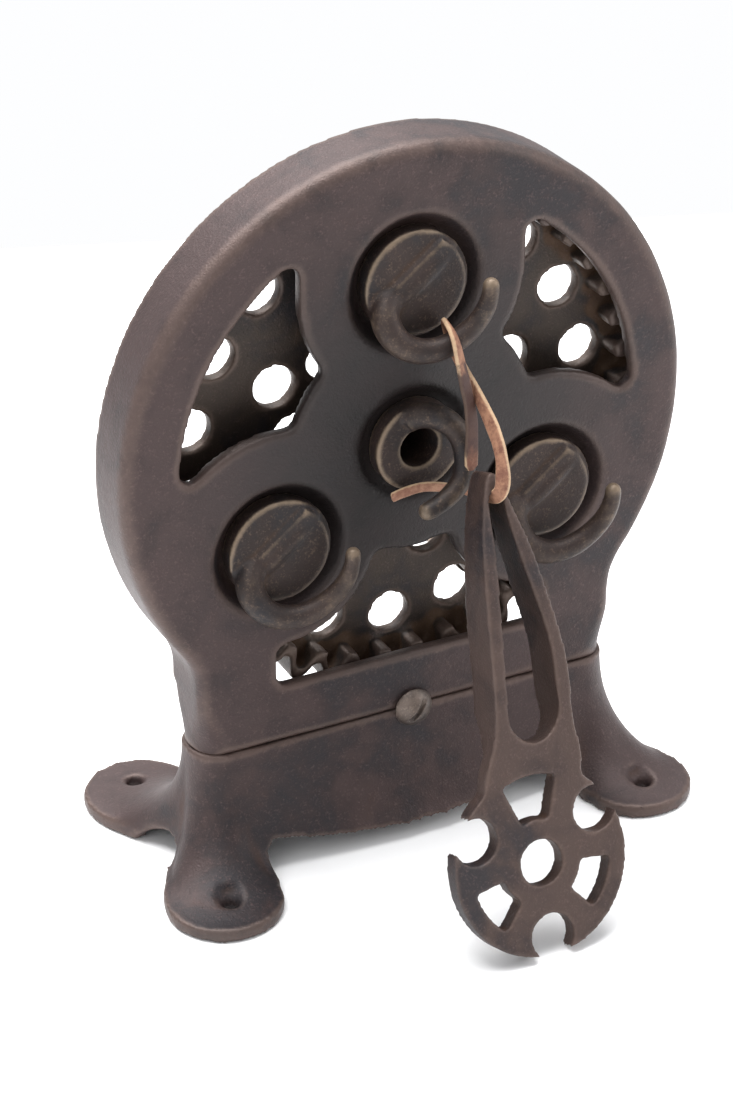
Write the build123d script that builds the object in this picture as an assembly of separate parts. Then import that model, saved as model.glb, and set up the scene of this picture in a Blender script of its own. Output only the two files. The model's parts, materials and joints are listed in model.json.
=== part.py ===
"""Rope making machine: a cast head and base, a cranked ring gear, three geared hooks, a centre hook, and a
strand separator that hangs on a leather lace.

Frame: origin at the middle of the four foot screws, on the table. X is right, Y is away from the front,
Z is up. Lengths are millimetres. Depths are measured back from the head's front face."""

from build123d import *

import os
from math import acos, asin, cos, hypot, pi, radians, sin, sqrt, tan

# ---------------------------------------------------------------- driving sizes
# running and standing clearances
RUNNING = 0.05        # radial, shaft in bore
FACE_GAP = 0.3        # between faces that turn past each other
SEATED = 0.02         # radial, a piece fixed in its hole

# feet
FOOT_HOLE_X = 81.0    # half the spacing of the foot screws
FOOT_HOLE_Y = 41.5
FOOT_HOLE_R = 2.85
FOOT_SINK_R = 7.4     # countersink, where it would reach the top of its cone
FOOT_SINK_Z = 4.4     # height at which the countersink starts
FOOT_X = 81.0         # middle of each foot's round end
FOOT_Y = 36.5
FOOT_R = 20.0
FOOT_T = 4.6
FOOT_TURNS = (200, 232, 264, 296, 328, 356)
WALL_FOOT_Y = 35.0    # where the flare of the front and rear walls would meet the table

# head casting
FACE_Y = -17.6        # the front face, behind the front foot screws
HUB_Z = 149.0
HEAD_R = 104.0
HEAD_DEPTH = 24.0
HEAD_WALL = 5.0
PLATE_T = 5.0
RIM_ROUND = 4.5
REAR_ROUND = 1.5
NECK_HALF = 79.5
NECK_BLEND_R = 24.0
SEAM_Z = 47.0
LUG_HALF = 18.0
LUG_DROP = 15.0

# windows in the face
WINDOW_R = 84.0       # outer arc of the two side windows
HUB_WEB_R = 45.5      # web around the hub, side windows
LOWER_HUB_WEB_R = 39.0
TOP_WEB_R = 40.6      # web around the top hook, and half the width of the web above it
SIDE_WEB_R = 42.6     # web around a lower hook, side windows
LOWER_WEB_R = 36.0    # the same, lower window
LOWER_WINDOW_Z = 68.0
LOWER_WINDOW_HALF = 51.0
WINDOW_ROUND = 4.0

# base casting
BASE_LIP = 1.0        # how far the base stands out from the head at the seam
BASE_WALL = 5.0
BASE_CORNER_R = 12.0
BASE_SIDE_FLARE = 9.0
BASE_FLARE_POWER = 2.2
FLARE_STEPS = (0, 0.18, 0.36, 0.54, 0.7, 0.83, 0.93, 1)
HOLLOW_STEPS = (0, 0.18, 0.36, 0.54, 0.7)
APRON_Z = 6.5         # lower edge of the front and rear walls at their middle
APRON_END_Z = 12.5
ARCH_HALF_Y = 15.0
ARCH_RISE = 9.0

# gear train
MODULE = 4.0714
RING_TEETH = 42
PINION_TEETH = 14
PRESSURE_ANGLE = 20.0
ADDENDUM = 0.80       # in modules
DEDENDUM = 1.00
BACKLASH = 0.28       # removed from each flank pair at the pitch circle
RING_FRONT = 7.6      # depth of the toothed wall's front edge
RING_WALL = 4.3
WEB_FRONT = 17.6
WEB_T = 4.8
WEB_HOLE_R = 7.3
WEB_HOLES = 18
WEB_HOLE_CIRCLE = 73.5
INNER_HOLES = 8
INNER_HOLE_TURN = 5.0
INNER_HOLE_CIRCLE = 35.5
MIDDLE_HOLE_CIRCLE = 47.5
GEAR_HUB_R = 15.5
GEAR_HUB_BACK = 33.0
PINION_BACK = WEB_FRONT - 1.0

# hooks
HOOK_CIRCLE = MODULE * (RING_TEETH - PINION_TEETH) / 2
HOOK_DISC_R = 18.4
HOOK_PROUD = 1.0
HOOK_DISC_T = 7.0
DISH_R = 24.0
DISH_FLOOR_R = 19.2
HOOK_BOSS_R = 22.6
HOOK_BOSS_BACK = 10.6
HOOK_SHANK_R = 10.0
RIVET_LIP = 1.5       # the shank's end, spread over the pinion
RIVET_T = 0.6
KEY_R = 1.6
PAD_TURN = 38.0       # degrees
PAD_EDGE = 6.8        # distance of the pad's straight edge from the hook's axis
PAD_T = 2.2
PAD_ROUND = 1.4
HOOK_RIDGE_R = 3.4
HOOK_ROOT_R = 5.0
HOOK_TIP_R = 2.6
# along the ridge and the crook: x, depth and height from the hook's own axis
HOOK_RIDGE = [(-9.5, 0.2, -6.5), (0.0, -0.9, 1.2), (11.5, 0.4, 10.0)]
HOOK_LINE = [(-9.0, 1.0, -3.5), (-13.0, -4.0, -8.5), (-9.7, -8.0, -15.8), (-0.4, -11.0, -19.0),
             (9.3, -13.0, -15.6), (16.1, -15.0, -8.1), (18.6, -16.0, 2.0)]

# centre hook
FLANGE_R = 15.7
FLANGE_PROUD = 4.0
FLANGE_T = 7.0
HUB_DISH_R = 21.0
HUB_DISH_FLOOR_R = 16.4
HUB_BOSS_R = 17.5
HUB_BOSS_BACK = 12.0
SHAFT_R = 10.0
SHAFT_BORE_R = 7.0
CENTRE_ROOT_R = 4.6
CENTRE_TIP_R = 3.0
CENTRE_LINE = [(-3.0, -2.0, 10.9), (4.0, -7.5, 12.0), (9.5, -11.0, 7.5), (11.3, -14.0, 0.0),
               (9.0, -16.5, -7.5), (3.0, -18.0, -12.5), (-4.8, -18.5, -15.6)]

# crank
CRANK_ANGLE = 146.0   # clockwise from the top, seen from the front
CRANK_RADIUS = 90.0
ARM_FRONT = 38.0
ARM_T = 7.0
ARM_HUB_R = 13.0
ARM_END_R = 9.0
SPINDLE_INTO_SHAFT = 14.0
GRIP_L = 84.0
GRIP_R = 12.5
GRIP_SPINDLE_R = 4.0
GRIP_HEAD_R = 8.0
GRIP_HEAD_T = 4.0
WASHER_R = 10.0
WASHER_T = 1.6

# pins and screws
PIN_R = 2.5
SEAM_SCREW_R = 4.0
SEAM_HEAD_R = 7.2
SEAM_HEAD_H = 4.6
SEAM_SCREW_L = 13.0
SLOT_W = 2.0
SLOT_D = 2.0
SLOT_ANGLE = 52.0

# strand separator
SEP_R = 31.6
SEP_T = 7.0
SEP_LEAN = 21.0
SEP_X = 4.6
SEP_DEPTH = -83.2     # depth of the disc's centre, on its front face
SEP_NOTCH_CIRCLE = 25.5
SEP_NOTCH_R = 7.8
SEP_MOUTH = 11.6      # width of each notch where it opens at the rim
SEP_HOLE_R = 7.8
SEP_WAIST_Y = 24.0    # above the notches: here the handle joins the disc
SEP_WAIST_ROUND = 4.0
SEP_WINDOWS = ((90, 29.5), (210, 25.4), (330, 25.4))  # angle and outer radius of each cast slot
SEP_WINDOW_R = 14.5   # inner radius of these slots
SEP_WINDOW_HALF = 20  # half of each slot's angle
SEP_WINDOW_ROUND = 1.2
SEP_STRAP = 4.6       # thickness of the handle's bars, in the disc's plane
SEP_CROWN = 6.2       # metal above the eye that the lace goes through
SEP_BAR_DEPTH = 17.0
SEP_TOP_DEPTH = 12.0
SEP_TOP = 130.0       # height of the handle's top above the disc's centre

# leather lace
LACE_W = 3.2
TAIL_W = 3.0
# x, depth and height: from the cut end beside the centre hook, up over the top hook's crook, down to the
# separator's loop, and under its top
LACE_LINE = [(9.0, -22.4, 147.0), (9.7, -21.2, 154.0), (10.4, -20.0, 165.3), (6.6, -19.0, 183.0),
             (4.4, -18.4, 194.4), (7.0, -6.0, 194.8), (10.4, -7.6, 182.0), (13.2, -17.0, 172.5),
             (13.4, -30.0, 163.4), (11.6, -38.8, 156.6), (8.9, -43.6, 146.5), (8.9, -26.1, 140.2),
             (8.8, -24.4, 131.9)]
TAIL_LINE = [(-11.5, -5.9, 134.0), (-3.0, -5.95, 136.0), (5.0, -8.0, 135.4), (12.0, -10.0, 133.4),
             (17.5, -11.6, 131.6)]


# ---------------------------------------------------------------- helpers
def face_plane(depth):
    """The plane at a depth behind the front face: local x is X, local y is Z, normal to the front."""
    return Plane(origin=(0, FACE_Y + depth, 0), x_dir=(1, 0, 0), z_dir=(0, -1, 0))


def slab(sketch, front, back):
    """A sketch in x and z, made solid from one depth to another."""
    return extrude(face_plane(front) * sketch, amount=-(back - front))


def rod_y(x, z, r, front, back):
    """A cylinder along Y between two depths."""
    return slab(Pos(x, z) * Circle(r), front, back)


def cone_y(x, z, r_front, r_back, front, back):
    """A cone frustum along Y."""
    return loft([face_plane(front) * Pos(x, z) * Circle(r_front),
                 face_plane(back) * Pos(x, z) * Circle(r_back)])


def polar(r, angle):
    """x and z of a point at a radius and an angle clockwise from the top, measured from the hub."""
    return r * sin(radians(angle)), HUB_Z + r * cos(radians(angle))


def hook_centre(angle):
    return polar(HOOK_CIRCLE, angle)


def tapered_rod(points, radii):
    """A bent rod: round sections square to a smooth line through the points, joined by a loft. Each section
    is turned as little as it can be from the one before, so that the surface has no twist."""
    path = Spline(*[Vector(*p) for p in points])
    normal = path % 0
    across = normal.cross(Vector(1, 2, 3))
    last = len(points) - 1
    sections = []
    for i in range(2 * last + 1):
        normal = path % (i / (2 * last))
        across = across - normal * across.dot(normal)
        r = (radii[i // 2] + radii[(i + 1) // 2]) / 2
        sections.append(Plane(origin=path @ (i / (2 * last)), x_dir=across, z_dir=normal) * Circle(r))
    return loft(sections) + Pos(*points[-1]) * Sphere(radii[-1])


# ---------------------------------------------------------------- head
def head_outline():
    neck = Pos(0, (SEAM_Z + HUB_Z) / 2) * Rectangle(2 * NECK_HALF, HUB_Z - SEAM_Z)
    above_seam = Pos(0, SEAM_Z) * Rectangle(3 * HEAD_R, 3 * HEAD_R, align=(Align.CENTER, Align.MIN))
    outline = (Pos(0, HUB_Z) * Circle(HEAD_R) + neck) & above_seam
    join_z = HUB_Z - sqrt(HEAD_R**2 - NECK_HALF**2)
    corners = [v for v in outline.vertices() if abs(v.Y - join_z) < 1 and abs(abs(v.X) - NECK_HALF) < 1]
    return fillet(corners, NECK_BLEND_R)


def side_window(side):
    """The window left (-1) or right (+1) of the top hook."""
    top_x, top_z = hook_centre(0)
    low_x, low_z = hook_centre(120 * side)
    sector = Pos(0, HUB_Z) * Circle(WINDOW_R) - Pos(0, HUB_Z) * Circle(HUB_WEB_R)
    sector -= Pos(top_x, top_z) * Circle(TOP_WEB_R)
    sector -= Pos(top_x, top_z + WINDOW_R / 2) * Rectangle(2 * TOP_WEB_R, WINDOW_R)
    sector -= Pos(low_x, low_z) * Circle(SIDE_WEB_R)
    above = HUB_Z - HUB_WEB_R / 2 + WINDOW_R
    window = sector & Pos(side * WINDOW_R, above) * Rectangle(2 * WINDOW_R, 2 * WINDOW_R)
    window = max(window.faces(), key=lambda f: f.area)
    corners = [v for v in window.vertices() if abs(v.Y - top_z) > 1]
    return fillet(corners, WINDOW_ROUND)


def lower_window():
    box = Pos(0, (LOWER_WINDOW_Z + HUB_Z) / 2) * Rectangle(2 * LOWER_WINDOW_HALF, HUB_Z - LOWER_WINDOW_Z)
    window = box - Pos(0, HUB_Z) * Circle(LOWER_HUB_WEB_R)
    for side in (-1, 1):
        x, z = hook_centre(120 * side)
        window -= Pos(x, z) * Circle(LOWER_WEB_R)
    window = max(window.faces(), key=lambda f: f.area)
    return fillet(window.vertices(), WINDOW_ROUND)


def make_head():
    outline = head_outline()
    body = slab(outline, 0, HEAD_DEPTH)
    above_seam = lambda e: e.center().Z > SEAM_Z + 1
    front_edges = [e for e in body.faces().sort_by(Axis.Y)[0].edges() if above_seam(e)]
    body = fillet(front_edges, RIM_ROUND)
    rear_edges = [e for e in body.faces().sort_by(Axis.Y)[-1].edges() if above_seam(e)]
    body = fillet(rear_edges, REAR_ROUND)
    body -= slab(offset(outline, -HEAD_WALL, kind=Kind.INTERSECTION), PLATE_T, HEAD_DEPTH + 1)
    for window in (side_window(-1), side_window(1), lower_window()):
        body -= slab(window, -1, PLATE_T + 1)
    for angle in (0, 120, 240):
        x, z = hook_centre(angle)
        floor = HOOK_DISC_T - HOOK_PROUD + FACE_GAP
        body += rod_y(x, z, HOOK_BOSS_R, PLATE_T - 0.5, HOOK_BOSS_BACK)
        body -= cone_y(x, z, DISH_R, DISH_FLOOR_R, 0, floor)
        body -= rod_y(x, z, HOOK_SHANK_R + RUNNING, floor - 1, HOOK_BOSS_BACK + 1)
    floor = FLANGE_T - FLANGE_PROUD + FACE_GAP
    body += rod_y(0, HUB_Z, HUB_BOSS_R, PLATE_T - 0.5, HUB_BOSS_BACK)
    body -= cone_y(0, HUB_Z, HUB_DISH_R, HUB_DISH_FLOOR_R, 0, floor)
    body -= rod_y(0, HUB_Z, SHAFT_R + RUNNING, floor - 1, HUB_BOSS_BACK + 1)
    # the lug that reaches down into the base and takes both seam screws
    lug_front = BASE_WALL - BASE_LIP + FACE_GAP
    lug_back = HEAD_DEPTH - BASE_WALL + BASE_LIP - FACE_GAP
    lug = Pos(0, SEAM_Z - LUG_DROP / 2 + 1) * Rectangle(2 * LUG_HALF, LUG_DROP + 2)
    body += slab(lug, lug_front, lug_back)
    return body - rod_y(0, SEAM_Z, SEAM_SCREW_R + SEATED, -1, HEAD_DEPTH + 1)


# ---------------------------------------------------------------- base
def base_rows(front):
    """Matching points of one quarter of the base, from the middle of its wall to the middle of its side:
    (x, y) at the seam and (x, y) on the table."""
    sign = -1 if front else 1
    half = NECK_HALF + BASE_LIP
    mid_y = FACE_Y + HEAD_DEPTH / 2
    wall = HEAD_DEPTH / 2 + BASE_LIP
    c = BASE_CORNER_R
    inner = FOOT_X - FOOT_R
    outer = FOOT_X + FOOT_R
    bottoms = [(0, WALL_FOOT_Y), (0.42 * inner, WALL_FOOT_Y), (0.74 * inner, WALL_FOOT_Y),
               (inner - 6.5, WALL_FOOT_Y), (inner - 2.2, WALL_FOOT_Y + 0.6), (inner, WALL_FOOT_Y + 2.6)]
    rows = []
    for share, (x, y) in zip((0, 0.35, 0.64, 0.82, 0.91, 0.97), bottoms):
        rows.append(((share * (half - c), mid_y + sign * wall), (x, sign * y)))
    # the tongue: the corner arc at the seam opens out to the foot's round end
    count = len(FOOT_TURNS)
    for i, turn in enumerate(FOOT_TURNS):
        a = radians(90 * (i + 0.5) / count)
        seam = (half - c + c * sin(a), mid_y + sign * (wall - c + c * cos(a)))
        foot = (FOOT_X + FOOT_R * cos(radians(turn)), sign * (FOOT_Y - FOOT_R * sin(radians(turn))))
        rows.append((seam, foot))
    waist = half + BASE_SIDE_FLARE
    for share, spread in ((0.66, 0.75), (0.34, 0.22)):
        foot = (waist + (outer - waist) * spread, sign * FOOT_Y * share)
        rows.append(((half, mid_y + sign * share), foot))
    return rows


def base_loop():
    """All rows, once round: front right, rear right, rear left, front left, with no point twice."""
    front, rear = base_rows(True), base_rows(False)
    right = front + rear[::-1]
    left = [((-t[0], t[1]), (-b[0], b[1])) for t, b in right[::-1]]
    return right + left[1:-1]


def spacing(rows):
    """How far along these rows each one lies, from 0 to 1, measured at the seam and on the table."""
    total = [0.0]
    for (t0, b0), (t1, b1) in zip(rows, rows[1:]):
        step = hypot(t1[0] - t0[0], t1[1] - t0[1]) + hypot(b1[0] - b0[0], b1[1] - b0[1])
        total.append(total[-1] + step)
    return [t / total[-1] for t in total]


def flare_section(loop, step, inset):
    """The outline at one step of the flare, 0 at the seam and 1 at the foot plates, moved in by inset."""
    turn = step * pi / 2
    out = 1 - cos(turn) ** (2 / BASE_FLARE_POWER) if step < 1 else 1
    fall = sin(turn) ** (2 / BASE_FLARE_POWER)
    z = SEAM_Z - (SEAM_Z - FOOT_T) * fall - inset * sin(turn)
    points = [(t[0] + out * (b[0] - t[0]), t[1] + out * (b[1] - t[1])) for t, b in loop]
    shift = inset * cos(turn)
    ring = []
    for i, (x, y) in enumerate(points):
        ax, ay = points[i - 1]
        bx, by = points[(i + 1) % len(points)]
        length = hypot(bx - ax, by - ay)
        ring.append(Vector(x - shift * (by - ay) / length, y + shift * (bx - ax) / length, z))
    # one spline for each side, level with the walls where they meet, all steps with the same spacing
    middle = len(ring) // 2
    right = Edge.make_spline(ring[:middle + 1], tangents=[(1, 0, 0), (-1, 0, 0)],
                             parameters=spacing(loop[:middle + 1]))
    left = Edge.make_spline(ring[middle:] + ring[:1], tangents=[(-1, 0, 0), (1, 0, 0)],
                            parameters=spacing(loop[middle:] + loop[:1]))
    return make_face([right, left])


def apron_gap():
    """The gap under the front and rear walls, drawn across them: the wall hangs lowest at its middle."""
    half = FOOT_X - FOOT_R - 1
    corner = 5
    edge = ThreePointArc((-half + corner, APRON_END_Z), (0, APRON_Z), (half - corner, APRON_END_Z))
    right = ThreePointArc((half - corner, APRON_END_Z), (half - 0.3 * corner, APRON_END_Z - 0.3 * corner),
                          (half, APRON_END_Z - corner))
    left = ThreePointArc((-half, APRON_END_Z - corner), (-half + 0.3 * corner, APRON_END_Z - 0.3 * corner),
                         (-half + corner, APRON_END_Z))
    sides = Polyline((half, APRON_END_Z - corner), (half, -1), (-half, -1), (-half, APRON_END_Z - corner))
    return make_face(edge.edges() + right.edges() + sides.edges() + left.edges())


def side_arch():
    """The low arch between the two feet of one side."""
    half = ARCH_HALF_Y
    return make_face(ThreePointArc((-half, -1), (0, ARCH_RISE), (half, -1)) + Line((half, -1), (-half, -1)))


def foot_holes():
    return [(sx * FOOT_HOLE_X, sy * FOOT_HOLE_Y) for sx in (-1, 1) for sy in (-1, 1)]


def flared_solid(loop, steps, inset, floor):
    """The flare from the seam down to its last step, carried straight down to the floor given."""
    last = flare_section(loop, steps[-1], inset)
    drop = last.center().Z - floor
    flare = loft([flare_section(loop, s, inset) for s in steps]).faces().sort_by(Axis.Z)
    prism = extrude(last, amount=drop, dir=(0, 0, -1)).faces().sort_by(Axis.Z)
    return Part() + Solid(Shell(prism[:-1] + flare[1:]))


def make_base():
    loop = base_loop()
    body = flared_solid(loop, FLARE_STEPS, 0, 0)
    body -= flared_solid(loop, HOLLOW_STEPS, BASE_WALL, -1)
    reach = FOOT_HOLE_X + FOOT_HOLE_Y + FOOT_R
    body -= extrude(Plane.XZ * apron_gap(), amount=reach, both=True)
    body -= extrude(Plane.YZ * side_arch(), amount=reach, both=True)
    for x, y in foot_holes():
        body -= Pos(x, y, 0) * Cylinder(FOOT_HOLE_R, 4 * FOOT_T)
        sink = FOOT_SINK_R - FOOT_HOLE_R
        body -= Pos(x, y, FOOT_SINK_Z + sink / 2) * Cone(FOOT_HOLE_R, FOOT_SINK_R, sink)
    body -= rod_y(0, SEAM_Z, SEAM_SCREW_R + SEATED, -BASE_LIP - 1, HEAD_DEPTH + BASE_LIP + 1)
    seat_r = SEAM_HEAD_R + FACE_GAP
    body -= rod_y(0, SEAM_Z, seat_r, -WALL_FOOT_Y, -BASE_LIP)
    return body - rod_y(0, SEAM_Z, seat_r, HEAD_DEPTH + BASE_LIP, HEAD_DEPTH + BASE_LIP + WALL_FOOT_Y)


# ---------------------------------------------------------------- gear train
def involute(base_r, r):
    """The involute angle, in radians, at a radius."""
    pressure = acos(min(1.0, base_r / r))
    return tan(pressure) - pressure


def toothed_outline(teeth, root_r, tip_r, thicker, phase):
    """A face with involute teeth, about the origin, one tooth centred phase degrees clockwise from the top.
    Each tooth is thicker by the arc given, at the pitch circle."""
    pitch_r = MODULE * teeth / 2
    base_r = pitch_r * cos(radians(PRESSURE_ANGLE))
    at_pitch = pi / (2 * teeth) + thicker / (2 * pitch_r) + involute(base_r, pitch_r)
    radii = [root_r + (tip_r - root_r) * i / 3 for i in range(4)]
    half = [at_pitch - involute(base_r, max(r, base_r)) for r in radii]

    def point(r, angle):
        return Vector(r * sin(angle), r * cos(angle))

    edges = []
    for k in range(teeth):
        middle = radians(phase) + 2 * pi * k / teeth
        following = middle + 2 * pi / teeth
        edges.append(Spline(*[point(r, middle - h) for r, h in zip(radii, half)]))
        edges.append(ThreePointArc(point(tip_r, middle - half[-1]), point(tip_r, middle),
                                   point(tip_r, middle + half[-1])))
        edges.append(Spline(*[point(r, middle + h) for r, h in zip(radii[::-1], half[::-1])]))
        edges.append(ThreePointArc(point(root_r, middle + half[0]), point(root_r, (middle + following) / 2),
                                   point(root_r, following - half[0])))
    return make_face(edges)


def ring_radii():
    """Tip and root circles of the ring's inward teeth."""
    pitch_r = MODULE * RING_TEETH / 2
    return pitch_r - ADDENDUM * MODULE, pitch_r + DEDENDUM * MODULE


def make_drive_gear():
    tip_r, root_r = ring_radii()
    web_back = WEB_FRONT + WEB_T
    cavity = toothed_outline(RING_TEETH, tip_r, root_r, BACKLASH, 0)
    outer = toothed_outline(RING_TEETH, tip_r + RING_WALL, root_r + RING_WALL, RING_WALL, 0)
    hub = Pos(0, HUB_Z)
    gear = slab(hub * outer, RING_FRONT, web_back)
    gear -= slab(hub * cavity, RING_FRONT - 1, WEB_FRONT)
    gear += rod_y(0, HUB_Z, GEAR_HUB_R, HUB_BOSS_BACK + FACE_GAP, GEAR_HUB_BACK)
    holes = [(WEB_HOLE_CIRCLE, 360 * i / WEB_HOLES) for i in range(WEB_HOLES)]
    for i in range(INNER_HOLES):
        step = 360 * i / INNER_HOLES
        holes.append((INNER_HOLE_CIRCLE, INNER_HOLE_TURN + step))
        holes.append((MIDDLE_HOLE_CIRCLE, INNER_HOLE_TURN + 180 / INNER_HOLES + step))
    for r, angle in holes:
        x, z = polar(r, angle)
        gear -= rod_y(x, z, WEB_HOLE_R, WEB_FRONT - 1, web_back + 1)
    gear -= rod_y(0, HUB_Z, SHAFT_R + SEATED, RING_FRONT, GEAR_HUB_BACK + 1)
    return gear - cross_pin(PIN_R + SEATED)


def cross_pin(r):
    """The pin through the gear's hub, the shaft and the crank's spindle."""
    depth = (WEB_FRONT + WEB_T + GEAR_HUB_BACK) / 2
    return Pos(0, FACE_Y + depth, HUB_Z) * Rot(0, 90, 0) * Cylinder(r, 2 * GEAR_HUB_R)


def pinion_key(angle, r):
    """The round key driven in along the joint of a hook's shank and its pinion."""
    x, z = hook_centre(angle)
    return rod_y(x, z + HOOK_SHANK_R, r, HOOK_BOSS_BACK + FACE_GAP, PINION_BACK)


def make_pinion(angle):
    x, z = hook_centre(angle)
    pitch_r = MODULE * PINION_TEETH / 2
    outline = toothed_outline(PINION_TEETH, pitch_r - DEDENDUM * MODULE, pitch_r + ADDENDUM * MODULE,
                              -BACKLASH, angle)
    pinion = slab(Pos(x, z) * outline, HOOK_BOSS_BACK + FACE_GAP, PINION_BACK)
    pinion -= rod_y(x, z, HOOK_SHANK_R + SEATED, 0, HEAD_DEPTH)
    return pinion - pinion_key(angle, KEY_R + SEATED)


# ---------------------------------------------------------------- hooks
def hook_pad(x, z):
    """The raised pad over the lower right part of a hook's disc; its straight edge is turned."""
    reach = 2 * HOOK_DISC_R
    below = Rot(0, 0, PAD_TURN) * Pos(0, PAD_EDGE - reach / 2) * Rectangle(2 * reach, reach)
    outline = Circle(HOOK_DISC_R - PAD_ROUND) & below
    pad = slab(Pos(x, z) * outline, -HOOK_PROUD - PAD_T, 0)
    return fillet(pad.faces().sort_by(Axis.Y)[0].edges(), PAD_ROUND)


def make_hook(angle):
    """A spinning hook: a disc in its dish, a shank through the head, and a crook bent round in front."""
    x, z = hook_centre(angle)
    disc_back = HOOK_DISC_T - HOOK_PROUD
    hook = rod_y(x, z, HOOK_DISC_R, -HOOK_PROUD, disc_back)
    hook += rod_y(x, z, HOOK_SHANK_R, disc_back - 1, PINION_BACK)
    hook += rod_y(x, z, HOOK_SHANK_R + RIVET_LIP, PINION_BACK, PINION_BACK + RIVET_T)
    hook -= pinion_key(angle, KEY_R + SEATED)
    hook += hook_pad(x, z)
    to_row = Pos(x, FACE_Y, z)
    ridge = tapered_rod(HOOK_RIDGE, [HOOK_RIDGE_R] * len(HOOK_RIDGE))
    hook += to_row * ridge
    count = len(HOOK_LINE)
    radii = [HOOK_ROOT_R + (HOOK_TIP_R - HOOK_ROOT_R) * (i / (count - 1)) ** 1.3 for i in range(count)]
    return hook + to_row * tapered_rod(HOOK_LINE, radii)


def make_centre_hook():
    flange_back = FLANGE_T - FLANGE_PROUD
    hook = rod_y(0, HUB_Z, FLANGE_R, -FLANGE_PROUD, flange_back)
    hook += rod_y(0, HUB_Z, SHAFT_R, flange_back - 1, GEAR_HUB_BACK)
    count = len(CENTRE_LINE)
    radii = [CENTRE_ROOT_R + (CENTRE_TIP_R - CENTRE_ROOT_R) * i / (count - 1) for i in range(count)]
    hook += Pos(0, FACE_Y, HUB_Z) * tapered_rod(CENTRE_LINE, radii)
    hook -= rod_y(0, HUB_Z, SHAFT_BORE_R, -FLANGE_PROUD - 1.5, GEAR_HUB_BACK + 1)
    return hook - cross_pin(PIN_R + SEATED)


# ---------------------------------------------------------------- crank
def crank_end():
    return polar(CRANK_RADIUS, CRANK_ANGLE)


def make_crank_arm():
    x, z = crank_end()
    boss_front = GEAR_HUB_BACK
    arm_back = ARM_FRONT + ARM_T
    hub = Pos(0, HUB_Z) * Circle(ARM_HUB_R)
    end = Pos(x, z) * Circle(ARM_END_R)
    outline = make_hull(hub.edges() + end.edges())
    arm = fillet(slab(outline, ARM_FRONT, arm_back).edges(), 1.2)
    arm += rod_y(0, HUB_Z, ARM_HUB_R, boss_front, ARM_FRONT + 1.5)
    arm += rod_y(0, HUB_Z, SHAFT_BORE_R - SEATED, GEAR_HUB_BACK - SPINDLE_INTO_SHAFT, ARM_FRONT)
    arm -= rod_y(x, z, GRIP_SPINDLE_R + SEATED, ARM_FRONT - 1, arm_back + 1)
    return arm - cross_pin(PIN_R + SEATED)


def grip_front():
    return ARM_FRONT + ARM_T + WASHER_T + FACE_GAP


def make_grip_spindle():
    x, z = crank_end()
    back = grip_front() + GRIP_L + FACE_GAP
    spindle = rod_y(x, z, GRIP_SPINDLE_R, ARM_FRONT, back)
    head = fillet(rod_y(x, z, GRIP_HEAD_R, back, back + GRIP_HEAD_T).edges().sort_by(Axis.Y)[-1:], 1.5)
    return spindle + head


def make_grip_washer():
    x, z = crank_end()
    front = ARM_FRONT + ARM_T
    return (rod_y(x, z, WASHER_R, front, front + WASHER_T)
            - rod_y(x, z, GRIP_SPINDLE_R + SEATED, front - 1, front + WASHER_T + 1))


def make_grip():
    """A turned wooden grip, fuller in its rear half."""
    x, z = crank_end()
    front = grip_front()
    shape = [(0.0, 0.76), (0.06, 0.86), (0.3, 0.84), (0.68, 1.0), (0.92, 0.86), (1.0, 0.66)]
    side = Spline(*[Vector(GRIP_R * r, GRIP_L * t) for t, r in shape])
    start, end = side @ 0, side @ 1
    profile = make_face([side, Line(end, (0, GRIP_L)), Line((0, GRIP_L), (0, 0)), Line((0, 0), start)])
    turned = revolve(profile, Axis.Y)
    bore = rod_y(x, z, GRIP_SPINDLE_R + RUNNING, front - 1, front + GRIP_L + 1)
    return Pos(x, FACE_Y + front, z) * turned - bore


# ---------------------------------------------------------------- pins and screws
def make_seam_screw(front):
    """A round-head screw that clamps the head's lug from the front (or the rear) of the seam."""
    ball_r = (SEAM_HEAD_R**2 + SEAM_HEAD_H**2) / (2 * SEAM_HEAD_H)
    seat = -BASE_LIP
    screw = rod_y(0, SEAM_Z, SEAM_SCREW_R, seat, seat + SEAM_SCREW_L)
    ball = Pos(0, FACE_Y + seat + ball_r - SEAM_HEAD_H, SEAM_Z) * Sphere(ball_r)
    screw += ball & rod_y(0, SEAM_Z, SEAM_HEAD_R, seat - SEAM_HEAD_H, seat)
    slot = Pos(0, SEAM_Z) * Rot(0, 0, SLOT_ANGLE) * Rectangle(4 * SEAM_HEAD_R, SLOT_W)
    screw -= slab(slot, seat - SEAM_HEAD_H - 1, seat - SEAM_HEAD_H + SLOT_D)
    if front:
        return screw
    middle_y = FACE_Y + HEAD_DEPTH / 2
    return Pos(0, middle_y, 0) * Rot(0, 0, 180) * Pos(0, -middle_y, 0) * screw


# ---------------------------------------------------------------- strand separator
def sep_plane(back=0.0):
    """The separator's front face, leaning back from the table: local y runs up its handle."""
    lean = radians(SEP_LEAN)
    rim = SEP_R * cos(asin(SEP_MOUTH / 2 / SEP_R))
    rise = rim * cos(lean) + SEP_T * sin(lean)
    front = Vector(0, -cos(lean), sin(lean))
    centre = Vector(SEP_X, FACE_Y + SEP_DEPTH, rise)
    return Plane(origin=centre - front * back, x_dir=(1, 0, 0), z_dir=front)


def sep_window(angle, outer):
    """A slot between two arcs about the disc's centre, at an angle from the local x axis."""
    ring = Circle(outer) - Circle(SEP_WINDOW_R)
    corners = [(0, 0)]
    for turn in (radians(angle - SEP_WINDOW_HALF), radians(angle + SEP_WINDOW_HALF)):
        corners.append((2 * outer * cos(turn), 2 * outer * sin(turn)))
    wedge = make_face(Polyline(*corners, close=True))
    return fillet((ring & wedge).vertices(), SEP_WINDOW_ROUND)


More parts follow.
